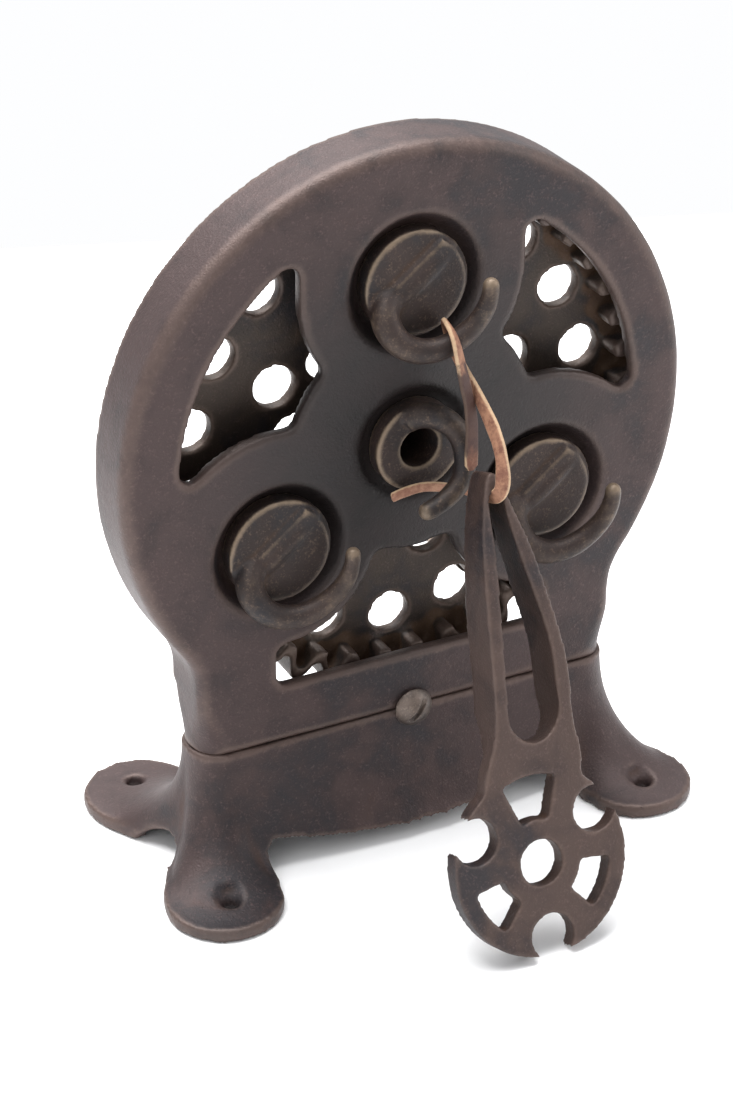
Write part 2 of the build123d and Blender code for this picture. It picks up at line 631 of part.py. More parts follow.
def handle_outlines():
    """The handle's outside and its finger loop: a straight bar on the left, a bowed one on the right."""
    outside = [(-16.5, 20), (-14.2, 34), (-9.6, 44), (-7.4, 56), (-5.8, 75), (-3.6, 101), (-1.2, 117),
               (4.0, SEP_TOP), (9.6, 118), (13.6, 105), (18.2, 83), (20.2, 70), (20.6, 56), (19.6, 44),
               (20.6, 32), (16, 20), (0, 10)]
    t = SEP_STRAP
    eye = SEP_TOP - SEP_CROWN
    inside = [(-7.4 + t, 56), (-5.8 + t, 75), (-3.6 + t, 101), (1.6, eye - 5), (2.2, eye - 1.6),
              (4.3, eye), (6.4, eye - 1.6), (7.1, eye - 5), (13.6 - t, 105), (18.2 - t, 83),
              (20.2 - t, 70), (20.0 - t, 56), (14.2, 46.5), (5.6, 39.6), (-3.2, 46.5)]
    return (make_face(Spline(*[Vector(*p) for p in outside], periodic=True)),
            make_face(Spline(*[Vector(*p) for p in inside], periodic=True)))


def make_separator():
    handle, loop = handle_outlines()
    plate = Circle(SEP_R) + handle
    plate -= Circle(SEP_HOLE_R)
    for angle in (30, 150, 270):
        plate -= Rot(0, 0, angle) * Pos(SEP_NOTCH_CIRCLE, 0) * Circle(SEP_NOTCH_R)
        plate -= Rot(0, 0, angle) * Pos(SEP_R, 0) * Rectangle(2 * (SEP_R - SEP_NOTCH_CIRCLE), SEP_MOUTH)
    waist = [v for v in plate.vertices() if v.Y > SEP_WAIST_Y]
    plate = fillet(waist, SEP_WAIST_ROUND)
    for angle, outer in SEP_WINDOWS:
        plate -= sep_window(angle, outer)
    plate -= loop
    blank = extrude(sep_plane() * plate, amount=-SEP_T)
    bars = extrude(sep_plane() * (handle - loop), amount=-SEP_BAR_DEPTH)
    side = [(0, 37), (SEP_T - 1, 37), (SEP_BAR_DEPTH, 50), (SEP_BAR_DEPTH, 85),
            (SEP_TOP_DEPTH, SEP_TOP + 1), (0, SEP_TOP + 1)]
    frame = sep_plane()
    across = Plane(origin=frame.origin, x_dir=-frame.z_dir, z_dir=frame.x_dir)
    reach = 2 * SEP_R
    bars &= extrude(across * make_face(Polyline(*side, close=True)), amount=reach, both=True)
    return blank + bars


# ---------------------------------------------------------------- lace
def cord(points, r):
    """A round tube along straight runs joined by arcs as large as the runs allow."""
    spots = [Vector(x, FACE_Y + depth, z) for x, depth, z in points]
    radii = []
    for a, b, c in zip(spots, spots[1:], spots[2:]):
        turn = radians((b - a).get_angle(c - b))
        shorter = min((b - a).length, (c - b).length)
        radii.append(0.45 * shorter / tan(turn / 2))
    path = FilletPolyline(*spots, radius=radii)
    tube = sweep(Plane(origin=path @ 0, z_dir=path % 0) * Circle(r), path=path)
    print("cord: length %.1f, volume / section * length %.4f, radii %s" % (
        path.length, tube.volume / (pi * r * r * path.length), " ".join("%.1f" % q for q in radii)))
    return tube


def make_parts():
    parts = {"head": make_head(), "base": make_base(), "drive_gear": make_drive_gear(),
             "centre_hook": make_centre_hook(), "crank_arm": make_crank_arm(),
             "gear_pin": cross_pin(PIN_R), "grip_spindle": make_grip_spindle(),
             "grip_washer": make_grip_washer(), "grip": make_grip(),
             "seam_screw_front": make_seam_screw(True), "seam_screw_rear": make_seam_screw(False),
             "separator": make_separator(), "lace": cord(LACE_LINE, LACE_W / 2),
             "lace_tail": cord(TAIL_LINE, TAIL_W / 2)}
    for place, angle in (("top", 0), ("right", 120), ("left", 240)):
        parts["hook_" + place] = make_hook(angle)
        parts["pinion_" + place] = make_pinion(angle)
        parts["pinion_key_" + place] = pinion_key(angle, KEY_R)
    return parts


if __name__ == "__main__":
    os.makedirs("parts", exist_ok=True)
    for name, piece in make_parts().items():
        export_step(piece, "parts/" + name + ".step")
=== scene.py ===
"""A hand-cranked rope making machine in old cast iron, with its strand separator hung on a leather lace.

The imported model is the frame: its nodes keep their places and sizes. Castings are re-skinned from their own
solids, so that edges turn softly and faces carry the slight waviness of a sand mould. The lace, its tail and
the turned grip are surfaces of their own. Sizes in the sub-assemblies' fields are in millimetres, unless their
class says otherwise, and meshes are in metres."""

import json
import logging
from dataclasses import dataclass
from enum import Enum
from typing import Any, Callable, Sequence

import bpy
import numpy as np
from mathutils import Euler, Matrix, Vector

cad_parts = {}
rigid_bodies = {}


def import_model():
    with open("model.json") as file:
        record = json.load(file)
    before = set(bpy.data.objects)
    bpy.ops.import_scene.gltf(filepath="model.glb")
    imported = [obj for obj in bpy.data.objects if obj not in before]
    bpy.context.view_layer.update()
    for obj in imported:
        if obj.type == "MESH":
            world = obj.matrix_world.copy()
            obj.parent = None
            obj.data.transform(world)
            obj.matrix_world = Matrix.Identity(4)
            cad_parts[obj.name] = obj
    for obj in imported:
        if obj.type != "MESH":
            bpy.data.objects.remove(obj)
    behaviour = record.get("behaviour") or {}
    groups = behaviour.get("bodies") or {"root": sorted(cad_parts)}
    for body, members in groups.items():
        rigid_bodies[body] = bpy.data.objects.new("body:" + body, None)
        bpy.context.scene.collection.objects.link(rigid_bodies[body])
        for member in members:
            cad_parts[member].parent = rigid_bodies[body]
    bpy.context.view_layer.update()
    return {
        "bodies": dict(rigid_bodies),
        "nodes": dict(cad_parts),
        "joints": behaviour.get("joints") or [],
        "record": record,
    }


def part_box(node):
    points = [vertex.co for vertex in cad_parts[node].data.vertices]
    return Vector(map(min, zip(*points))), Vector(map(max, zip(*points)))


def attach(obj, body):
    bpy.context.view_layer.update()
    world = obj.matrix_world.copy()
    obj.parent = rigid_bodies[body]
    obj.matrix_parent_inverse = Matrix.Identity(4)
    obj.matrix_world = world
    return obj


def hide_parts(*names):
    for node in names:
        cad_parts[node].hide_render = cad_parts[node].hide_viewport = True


LOG = logging.getLogger("rope machine")
MM = 0.001
FACE_Y = -17.6          # mm, the head's front face
HUB_Z = 149.0           # mm, the hub above the table
WELD_REACH = 1e-5       # m, points of a solid nearer than this are one point
RELAX_STEPS = (0.5, -0.52)   # shares of the way to the neighbours' mean, inwards and back out
LATTICE = 32            # corners along each side of the noise's table

Array = np.ndarray
Colour = tuple[float, float, float, float]

FRAME: dict[str, Any] = {}


def colour(code: str) -> Colour:
    """A display colour, such as "4a4040", as linear values with alpha.

    Args:
        code: six hexadecimal digits.

    Returns:
        Red, green, blue and alpha, each from 0 to 1.
    """
    parts = [int(code[i:i + 2], 16) / 255 for i in (0, 2, 4)]
    linear = [c / 12.92 if c <= 0.04045 else ((c + 0.055) / 1.055) ** 2.4 for c in parts]
    return (*linear, 1.0)


class Place(Enum):
    """Where a strand hook sits on the head; the value is the word its nodes are named by."""

    TOP = "top"
    RIGHT = "right"
    LEFT = "left"


# ------------------------------------------------------------------ shader building
class Value:
    """A number that a shader works out: arithmetic on it adds Math nodes."""

    def __init__(self, shader: "NodeTree", socket: Any) -> None:
        """Wraps one output socket of a shader."""
        self.shader = shader
        self.socket = socket

    def _join(self, operation: str, *others: Any) -> "Value":
        """The result of one Math node.

        Args:
            operation: Blender's name of it.
            others: the values in order, wrapped or plain.

        Returns:
            The wrapped result.
        """
        return self.shader.node("ShaderNodeMath", {"operation": operation}, dict(enumerate(others)))

    def __add__(self, other: Any) -> "Value":
        """self + other."""
        return self._join("ADD", self, other)

    __radd__ = __add__

    def __mul__(self, other: Any) -> "Value":
        """self * other."""
        return self._join("MULTIPLY", self, other)

    __rmul__ = __mul__

    def __sub__(self, other: Any) -> "Value":
        """self - other."""
        return self._join("SUBTRACT", self, other)

    def __rsub__(self, other: Any) -> "Value":
        """other - self."""
        return self._join("SUBTRACT", other, self)

    def __pow__(self, other: Any) -> "Value":
        """self to a power."""
        return self._join("POWER", self, other)

    def __abs__(self) -> "Value":
        """self without its sign."""
        return self._join("ABSOLUTE", self)

    def between(self, low: float, high: float) -> "Value":
        """self mapped so that low gives 0 and high gives 1, held there outside, with a smooth turn."""
        settings = {"interpolation_type": "SMOOTHSTEP", "clamp": True}
        values = {"Value": self, "From Min": low, "From Max": high, "To Min": 0.0, "To Max": 1.0}
        return self.shader.node("ShaderNodeMapRange", settings, values)

    def larger(self, other: Any) -> "Value":
        """The larger of self and other."""
        return self._join("MAXIMUM", self, other)

    def clipped(self) -> "Value":
        """self held between 0 and 1."""
        return self.shader.node("ShaderNodeClamp", {}, {"Value": self, "Min": 0.0, "Max": 1.0})


class NodeTree:
    """The nodes of a material or of the world."""

    def __init__(self, owner: Any) -> None:
        """Empties the owner's node tree.

        Args:
            owner: a material or a world.
        """
        owner.use_nodes = True
        self.tree = owner.node_tree
        self.tree.nodes.clear()

    def node(self, kind: str, settings: dict, values: dict, output: Any = 0) -> Value:
        """Adds a node.

        Args:
            kind: Blender's type name.
            settings: its own properties, set first.
            values: what goes into each socket, by name or number: a Value, a number or a vector.
            output: the output wanted, by name or number.

        Returns:
            That output, wrapped.
        """
        made = self.tree.nodes.new(kind)
        for key, setting in settings.items():
            setattr(made, key, setting)
        for key, value in values.items():
            self.feed(made.inputs[key], value)
        return Value(self, made.outputs[output])

    def feed(self, socket: Any, value: Any) -> None:
        """Links a Value to a socket, or sets the socket to a plain number or vector."""
        if isinstance(value, Value):
            self.tree.links.new(value.socket, socket)
        else:
            socket.default_value = value

    def end_in(self, kind: str, shown: Value) -> None:
        """Adds an output node of the kind named and links what it shows to it."""
        self.feed(self.tree.nodes.new(kind).inputs["Surface"], shown)


class Shader(NodeTree):
    """One material and the nodes that make it."""

    def __init__(self, name: str) -> None:
        """Starts a material that holds a Principled shader and nothing else.

        Args:
            name: the material's name.
        """
        self.material = bpy.data.materials.new(name)
        super().__init__(self.material)
        self.surface = self.tree.nodes.new("ShaderNodeBsdfPrincipled")
        self.end_in("ShaderNodeOutputMaterial", Value(self, self.surface.outputs[0]))
        self.place = self.node("ShaderNodeTexCoord", {}, {}, "Object")

    def finish(self, **values: Any) -> None:
        """Feeds the Principled shader's sockets: an underscore in a name stands for a space."""
        for key, value in values.items():
            self.feed(self.surface.inputs[key.replace("_", " ")], value)

    def noise(self, size_mm: float, detail: float = 3.0, roughness: float = 0.55, skew: float = 0.0,
              stretch: tuple[float, float, float] = (1, 1, 1)) -> Value:
        """Cloudy noise between 0 and 1.

        Args:
            size_mm: about how far apart its largest lumps are.
            detail: how many finer layers it has.
            roughness: how strong the finer layers are.
            skew: how much it is warped.
            stretch: its scale along each axis.

        Returns:
            The noise.
        """
        scale = tuple(s * 1000 / size_mm for s in stretch)
        at = self.node("ShaderNodeMapping", {}, {"Vector": self.place, "Scale": scale})
        return self.node("ShaderNodeTexNoise", {}, {"Vector": at, "Scale": 1.0, "Detail": detail,
                                                    "Roughness": roughness, "Distortion": skew})

    def pits(self, size_mm: float) -> Value:
        """Distance from the nearest of many scattered points, in cells of the size given."""
        at = self.node("ShaderNodeMapping", {}, {"Vector": self.place, "Scale": (1000 / size_mm,) * 3})
        return self.node("ShaderNodeTexVoronoi", {}, {"Vector": at, "Scale": 1.0})

    def from_hub(self) -> Value:
        """The distance from the hub's axis, in mm."""
        x = self.node("ShaderNodeSeparateXYZ", {}, {"Vector": self.place}, "X")
        z = self.node("ShaderNodeSeparateXYZ", {}, {"Vector": self.place}, "Z") - HUB_Z * MM
        return (x * x + z * z) ** 0.5 * 1000

    def painted(self, name: str) -> Value:
        """A number stored on the mesh's points."""
        return self.node("ShaderNodeAttribute", {"attribute_name": name}, {}, "Fac")

    def blend(self, low: Any, high: Any, share: Any) -> Value:
        """A colour between two others.

        Args:
            low: the colour at share 0.
            high: the colour at share 1.
            share: how far to go from low to high.

        Returns:
            The mixed colour.
        """
        return self.node("ShaderNodeMix", {"data_type": "RGBA"}, {0: share, 6: low, 7: high}, 2)

    def bump(self, height: Value, depth_mm: float, strength: float = 1.0, over: Value | None = None) -> Value:
        """A normal bent by a height map.

        Args:
            height: the map, about 0 to 1.
            depth_mm: how deep 0 to 1 is.
            strength: how much of it shows.
            over: a normal that it is added to.

        Returns:
            The bent normal.
        """
        values = {"Height": height, "Distance": depth_mm * MM, "Strength": strength}
        if over is not None:
            values["Normal"] = over
        return self.node("ShaderNodeBump", {}, values)


# ------------------------------------------------------------------ finishes
@dataclass(frozen=True)
class IronFinish:
    """Old cast iron: a warm dark patina with cooler dark clouds, rust in the hollows, a little metal worn light
    on the edges, grains of moulding sand, and oil thrown round a shaft."""

    name: str
    dark: str = "241b1b"
    body: str = "3a2d2c"
    cool: str = "252428"
    light: str = "5e4c4b"
    rust: str = "402c20"
    worn: str = "6e5c53"
    rust_share: float = 0.4
    wear_share: float = 0.34
    oiled: str = "1a1616"
    sand: float = 1.0
    roughness: float = 0.54
    metal: float = 0.35
    specular: float = 0.4
    oil: float = 0.0
    oil_reach: tuple[float, float] = (34.0, 98.0)
    cloud_mm: float = 52
    patch_mm: float = 14
    fine_mm: float = 2.4
    grain_mm: float = 0.75
    pit_mm: float = 2.3
    grain_depth: float = 0.34
    pit_depth: float = 0.10

    def material(self) -> bpy.types.Material:
        """Builds the material. Meshes carry "edge", above 0 on outer edges and below it in hollows."""
        s = Shader(self.name)
        edge = s.painted("edge")
        broad = s.noise(self.cloud_mm, 3, 0.55, 0.5)
        patch = s.noise(self.patch_mm, 5, 0.6, 0.4)
        fine = s.noise(self.fine_mm, 4, 0.65)
        grain = s.noise(self.grain_mm, 2, 0.6)
        tone = s.blend(colour(self.dark), colour(self.body), (broad * 0.5 + patch * 0.5).between(0.34, 0.58))
        tone = s.blend(tone, colour(self.cool), (1 - broad * 0.6 - patch * 0.4).between(0.5, 0.64) * 0.6)
        hollow = (0.0 - edge + (patch - 0.5) * 0.5).between(0.05, 0.5)
        rusty = (hollow + (patch * 0.6 + fine * 0.4).between(0.56, 0.72) * 0.4).clipped() * self.rust_share
        tone = s.blend(tone, colour(self.rust), rusty)
        tone = s.blend(tone, colour(self.light), (fine * 0.4 + grain * 0.6).between(0.5, 0.76) * 0.55)
        wear = (edge + (fine - 0.5) * 0.3 + (patch - 0.5) * 0.3).between(0.16, 0.7) * self.wear_share
        tone = s.blend(tone, colour(self.worn), wear)
        oily = 0.0
        if self.oil:
            oily = (1 - s.from_hub().between(*self.oil_reach)) * (patch * 0.8 + 0.6) * self.oil
            tone = s.blend(tone, colour(self.oiled), oily)
        dull = rusty * 0.3 - wear * 0.12 - oily * 0.12 + (fine - 0.5) * 0.16 + self.roughness
        crater = s.pits(self.pit_mm).between(0.05, 0.32)
        normal = s.bump(grain * 0.55 + fine * 0.45, self.grain_depth * self.sand, 0.75)
        normal = s.bump(crater, self.pit_depth * self.sand, 0.5, normal)
        s.finish(Base_Color=tone, Roughness=dull.clipped(), Metallic=self.metal, Normal=normal)
        s.surface.inputs["Specular IOR Level"].default_value = self.specular
        return s.material


@dataclass(frozen=True)
class LeatherFinish:
    """A stiff old leather lace: tan where it rubs, nearly black where oil has soaked in. Its mesh carries
    "along", 0 to 1 from end to end, and "across", 0 at the middle of the strip and 1 at its edges."""

    name: str
    tan: str = "926a52"
    brown: str = "643e2f"
    dark: str = "311d1a"
    cut: str = "c7ae8c"
    roughness: float = 0.66
    cloud_mm: float = 7
    fibre_mm: float = 1.3
    grain_mm: float = 0.5
    fibre_depth: float = 0.3
    stain_from: float = 0.0
    stain_to: float = 0.0
    stain_share: float = 0.9

    def material(self) -> bpy.types.Material:
        """Builds the material."""
        s = Shader(self.name)
        along, across = s.painted("along"), s.painted("across")
        cloud = s.noise(self.cloud_mm, 4, 0.6, 0.5)
        fibre = s.noise(self.fibre_mm, 4, 0.7, 0.3)
        grain = s.noise(self.grain_mm, 2, 0.6)
        tone = s.blend(colour(self.brown), colour(self.tan), (cloud * 0.6 + fibre * 0.4).between(0.38, 0.62))
        tone = s.blend(tone, colour(self.cut), (across + fibre * 0.4).between(0.86, 1.25) * 0.6)
        if self.stain_to > self.stain_from:
            ragged = along + (cloud - 0.5) * 0.2
            middle, half = (self.stain_from + self.stain_to) / 2, (self.stain_to - self.stain_from) / 2
            stain = 1 - abs(ragged - middle).between(half * 0.7, half * 1.25)
            tone = s.blend(tone, colour(self.dark), stain * self.stain_share)
        normal = s.bump(fibre * 0.6 + grain * 0.4, self.fibre_depth, 0.8)
        s.finish(Base_Color=tone, Roughness=(cloud * 0.2 + self.roughness).clipped(), Normal=normal)
        return s.material


@dataclass(frozen=True)
class WoodFinish:
    """A turned hardwood grip, paler where the hand has rubbed the varnish off."""

    name: str
    pale: str = "967a5a"
    mid: str = "71573f"
    dark: str = "453329"
    groove: str = "41322a"
    roughness: float = 0.34
    grain_mm: float = 5
    pore_mm: float = 0.9
    grime_mm: float = 22
    grain_depth: float = 0.18

    def material(self) -> bpy.types.Material:
        """Builds the material: the grain runs along Y."""
        s = Shader(self.name)
        grain = s.noise(self.grain_mm, 5, 0.62, 0.8, (1, 0.06, 1))
        pores = s.noise(self.pore_mm, 3, 0.6, 0.2, (1, 0.05, 1))
        grime = s.noise(self.grime_mm, 4, 0.6, 0.5)
        tone = s.blend(colour(self.mid), colour(self.pale), grain.between(0.36, 0.62))
        tone = s.blend(tone, colour(self.dark), pores.between(0.55, 0.7) * 0.6)
        tone = s.blend(tone, colour(self.dark), grime.between(0.52, 0.7) * 0.45)
        tone = s.blend(tone, colour(self.groove), (0.0 - s.painted("edge")).between(0.05, 0.4) * 0.8)
        s.finish(Base_Color=tone, Roughness=(grime * 0.25 + self.roughness).clipped(),
                 Normal=s.bump(pores * 0.5 + grain * 0.5, self.grain_depth, 0.7))
        return s.material


# ------------------------------------------------------------------ mesh work
def smooth_noise(points: Array, size: float, seed: int) -> Array:
    """Value noise: a random number at each corner of a cubic lattice, joined by a smooth blend of the eight.

    Args:
        points: positions, one row each.
        size: the lattice's spacing.
        seed: which random numbers.

    Returns:
        One number from -1 to 1 for each position.
    """
    table = np.random.default_rng(seed).uniform(-1, 1, (LATTICE,) * 3)
    scaled = points / size
    cell = np.floor(scaled).astype(int)
    part = scaled - cell
    part = part * part * (3 - 2 * part)
    total = np.zeros(len(points))
    for corner in np.ndindex(2, 2, 2):
        offset = np.array(corner)
        share = np.prod(np.where(offset == 1, part, 1 - part), axis=1)
        index = (cell + offset) % LATTICE
        total += share * table[index[:, 0], index[:, 1], index[:, 2]]
    return total


class Surface:
    """A mesh held as numpy arrays, with the few operations that castings and strips need."""

    def __init__(self, points: Array, faces: Array | Sequence[Sequence[int]]) -> None:
        """Takes points and the corner numbers of faces."""
        self.points = np.asarray(points, float)
        self.faces = faces
        self.numbers: dict[str, Array] = {}
        self._edges: Array | None = None

    @classmethod
    def skin(cls, node: str, voxel: float, turn: float = 0.0) -> "Surface":
        """A fine even skin round one CAD solid.

        Args:
            node: the solid's node.
            voxel: the skin's grid.
            turn: how far the grid is turned about each axis, in degrees. A turned grid leaves no long steps
                on a thin edge that runs nearly level.

        Returns:
            The surface of the solid, all in quads.
        """
        spin = Euler([np.radians(turn)] * 3).to_matrix()
        source = FRAME["nodes"][node]
        work = bpy.data.objects.new("work", source.data.copy())
        work.data.transform(spin.to_4x4())
        bpy.context.scene.collection.objects.link(work)
        weld = work.modifiers.new("weld", "WELD")
        weld.merge_threshold = WELD_REACH
        remesh = work.modifiers.new("skin", "REMESH")
        remesh.mode = "VOXEL"
        remesh.voxel_size = voxel
        remesh.adaptivity = 0.0
        graph = bpy.context.evaluated_depsgraph_get()
        mesh = bpy.data.meshes.new_from_object(work.evaluated_get(graph))
        points = np.empty(len(mesh.vertices) * 3)
        mesh.vertices.foreach_get("co", points)
        corners = np.empty(len(mesh.loops), int)
        mesh.loops.foreach_get("vertex_index", corners)
        data = work.data
        bpy.data.objects.remove(work)
        bpy.data.meshes.remove(data)
        bpy.data.meshes.remove(mesh)
        return cls(points.reshape(-1, 3) @ np.array(spin), corners.reshape(-1, 4))

    @classmethod
    def grid(cls, rows: Array, close_rows: bool, close_columns: bool) -> "Surface":
        """A surface through a grid of points.

        Args:
            rows: points as an array of rows, columns and 3.
            close_rows: join the last row to the first.
            close_columns: join the last column to the first.

        Returns:
            The surface, one quad between each four neighbours.
        """
        count_r, count_c = rows.shape[:2]
        r = np.arange(count_r if close_rows else count_r - 1)[:, None]
        c = np.arange(count_c if close_columns else count_c - 1)[None, :]
        r2, c2 = (r + 1) % count_r, (c + 1) % count_c
        quads = np.stack([r * count_c + c, r * count_c + c2, r2 * count_c + c2, r2 * count_c + c], axis=-1)
        return cls(rows.reshape(-1, 3), quads.reshape(-1, 4))

    def edges(self) -> Array:
        """Each pair of neighbouring points, once or twice."""
        if self._edges is None:
            faces = np.asarray(self.faces)
            self._edges = np.concatenate([faces[:, [i, (i + 1) % 4]] for i in range(4)])
        return self._edges

    def mean_of_neighbours(self, values: Array) -> Array:
        """The mean of the values at each point's neighbours."""
        a, b = self.edges().T
        count = np.bincount(a, minlength=len(values)) + np.bincount(b, minlength=len(values))
        count = np.maximum(count, 1)
        if values.ndim == 1:
            total = np.bincount(a, values[b], len(values)) + np.bincount(b, values[a], len(values))
            return total / count
        return np.stack([self.mean_of_neighbours(values[:, i]) for i in range(values.shape[1])], axis=1)

    def relax(self, rounds: int) -> "Surface":
        """Smooths without shrinking: each round goes part of the way to the neighbours' mean, then back a
        little further out."""
        for _ in range(rounds):
            for step in RELAX_STEPS:
                self.points = self.points + step * (self.mean_of_neighbours(self.points) - self.points)
        return self

    def normals(self) -> Array:
        """Each point's outward direction: the mean of its faces' normals."""
        faces = np.asarray(self.faces)
        across = np.cross(self.points[faces[:, 2]] - self.points[faces[:, 0]],
                          self.points[faces[:, 3]] - self.points[faces[:, 1]])
        total = np.zeros_like(self.points)
        for i in range(4):
            for axis in range(3):
                total[:, axis] += np.bincount(faces[:, i], across[:, axis], len(self.points))
        return total / np.maximum(np.linalg.norm(total, axis=1, keepdims=True), 1e-12)

    def mark_edges(self, reach: int, size: float) -> "Surface":
        """Stores "edge": how far each point stands out from its surroundings, over size.

        Args:
            reach: how many rounds the surroundings are averaged over.
            size: the stand-out that counts as 1.

        Returns:
            The same surface.
        """
        around = self.points
        for _ in range(reach):
            around = self.mean_of_neighbours(around)
        out = np.einsum("ij,ij->i", self.points - around, self.normals())
        self.numbers["edge"] = np.clip(out / size, -1, 1)
        return self

    def ripple(self, layers: Sequence[tuple[float, float, int]]) -> "Surface":
        """Moves points along their normals by noise: each layer is its size, height and seed."""
        push = sum(height * smooth_noise(self.points, size, seed) for size, height, seed in layers)
        self.points = self.points + push[:, None] * self.normals()
        return self

    def piece(self, name: str, material: bpy.types.Material) -> bpy.types.Object:
        """Makes a Blender object of the surface, shaded smooth.

        Args:
            name: the piece's name.
            material: its finish.

        Returns:
            The object, at the origin.
        """
        mesh = bpy.data.meshes.new(name)
        faces = self.faces.tolist() if isinstance(self.faces, np.ndarray) else self.faces
        mesh.from_pydata(self.points.tolist(), [], faces)
        mesh.polygons.foreach_set("use_smooth", [True] * len(mesh.polygons))
        for key, numbers in self.numbers.items():
            mesh.attributes.new(key, "FLOAT", "POINT").data.foreach_set("value", numbers.astype(np.float32))
        mesh.materials.append(material)
        mesh.update()
        made = bpy.data.objects.new(name, mesh)
        bpy.context.scene.collection.objects.link(made)
        return made


@dataclass
class Casting:
    """One cast or forged piece, re-skinned from its solid. The mould's waviness has broad swells and finer
    ones on them. Wear is full where an edge stands out by edge_size from edge_reach rounds of neighbours."""

    node: str
    body: str
    finish: bpy.types.Material
    slot: str
    voxel: float
    rounds: int
    waviness: float
    turn: float = 0.0
    reshape: Callable[[Array], Array] | None = None
    swell: float = 17
    finer: float = 5
    finer_share: float = 0.4
    edge_reach: int = 8
    edge_size: float = 0.9

    def build(self) -> bpy.types.Object:
        """Builds the piece and puts it on its body in place of its solid.

        Returns:
            The new object.
        """
        surface = Surface.skin(self.node, self.voxel * MM, self.turn)
        if self.reshape is not None:
            surface.points = self.reshape(surface.points)
        surface.relax(self.rounds)
        surface.mark_edges(self.edge_reach, self.edge_size * MM)
        seed = sum(map(ord, self.node))
        surface.ripple([(self.swell * MM, self.waviness * MM, seed),
                        (self.finer * MM, self.waviness * self.finer_share * MM, seed + 1)])
        made = surface.piece(self.node + "_casting", self.finish)
        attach(made, self.body)
        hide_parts(self.node)
        LOG.info("%s: %d points", made.name, len(surface.points))
        return made


CAST_IRON = IronFinish("head and base iron", oil=0.9)
GEAR_IRON = IronFinish("gear iron", dark="241e1c", body="382e27", rust="523b28", rust_share=0.6, wear_share=0.4)
HOOK_IRON = IronFinish("hook iron", dark="1c1513", body="2e2320", light="6a574a", worn="93806b", rust="4b3727",
                       sand=0.8, wear_share=0.5)
SEPARATOR_IRON = IronFinish("separator iron", body="42342f", rust="4e3828", wear_share=0.22)
SCREW_STEEL = IronFinish("screw steel", dark="4a403a", body="6d6058", light="94867a", worn="a59788", sand=0.4,
                         roughness=0.42, wear_share=0.5)
LACE_LEATHER = LeatherFinish("lace leather", stain_from=0.02, stain_to=0.26)
TAIL_LEATHER = LeatherFinish("tail leather", tan="9c765f", brown="78503e")
GRIP_WOOD = WoodFinish("grip wood")


# ------------------------------------------------------------------ sub-assemblies
@dataclass
class Frame:
    """The round head with its three windows, and the four-footed base under it."""

    finish: bpy.types.Material
    seam_z: float = 47.0
    neck_half: float = 79.5
    corner_r: float = 12.0
    rim_r: float = 4.5
    head_depth: float = 24.0
    blend: float = 21.0

    def neck_corners(self, points: Array) -> Array:
        """Rounds the neck's front and rear corners more and more towards the seam: a point within the corner's
        square is drawn onto a quarter circle whose radius grows from the rim's to the base's."""
        moved = points.copy()
        x, y, z = points.T / MM
        share = np.clip((self.seam_z + self.blend - z) / self.blend, 0, 1)
        share = share * share * (3 - 2 * share)
        radius = self.rim_r + (self.corner_r - self.rim_r) * share
        middle_y = FACE_Y + self.head_depth / 2
        side = np.abs(x) - (self.neck_half - radius)
        out = np.abs(y - middle_y) - (self.head_depth / 2 - radius)
        reach = np.hypot(side, out)
        inside = (side > 0) & (out > 0) & (reach > radius) & (z < self.seam_z + self.blend)
        scale = np.where(inside, radius / np.maximum(reach, 1e-9), 1.0)
        new_x = np.sign(x) * (self.neck_half - radius + side * scale)
        new_y = middle_y + np.sign(y - middle_y) * (self.head_depth / 2 - radius + out * scale)
        moved[:, 0] = np.where(inside, new_x, x) * MM
        moved[:, 1] = np.where(inside, new_y, y) * MM
        return moved

    def build(self) -> None:
        """Builds both castings."""
        Casting("head", "frame", self.finish, "cast_iron", voxel=1.3, rounds=7, waviness=0.14,
                reshape=self.neck_corners).build()
        Casting("base", "frame", self.finish, "cast_iron", voxel=1.1, rounds=12, waviness=0.16, turn=31).build()


@dataclass
class Machinery:
    """The wheels, the four hooks, the crank and the screws."""

    gear: bpy.types.Material
    hook: bpy.types.Material
    steel: bpy.types.Material

    def build(self) -> None:
        """Builds each piece on its body."""
        Casting("drive_gear", "drive", self.gear, "gear_iron", voxel=1.35, rounds=3, waviness=0.08).build()
        Casting("centre_hook", "drive", self.hook, "hook_iron", voxel=0.75, rounds=5, waviness=0.16).build()
        Casting("crank_arm", "drive", self.hook, "hook_iron", voxel=0.9, rounds=4, waviness=0.1).build()
        for place in Place:
            hook, pinion, body = "hook_" + place.value, "pinion_" + place.value, place.value + "_hook"
            Casting(hook, body, self.hook, "hook_iron", voxel=0.75, rounds=6, waviness=0.18).build()
            Casting(pinion, body, self.gear, "gear_iron", voxel=0.8, rounds=2, waviness=0.04).build()
            self.dress("pinion_key_" + place.value)
        for node in ("seam_screw_front", "seam_screw_rear"):
            Casting(node, "frame", self.steel, "steel", voxel=0.3, rounds=2, waviness=0.05).build()
        for node in ("gear_pin", "grip_spindle", "grip_washer"):
            self.dress(node)

    def dress(self, node: str) -> None:
        """Gives a small turned part its finish, on the solid itself."""
        mesh = FRAME["nodes"][node].data
        mesh.materials.clear()
        mesh.materials.append(self.steel)
        LOG.info("%s: solid kept", node)


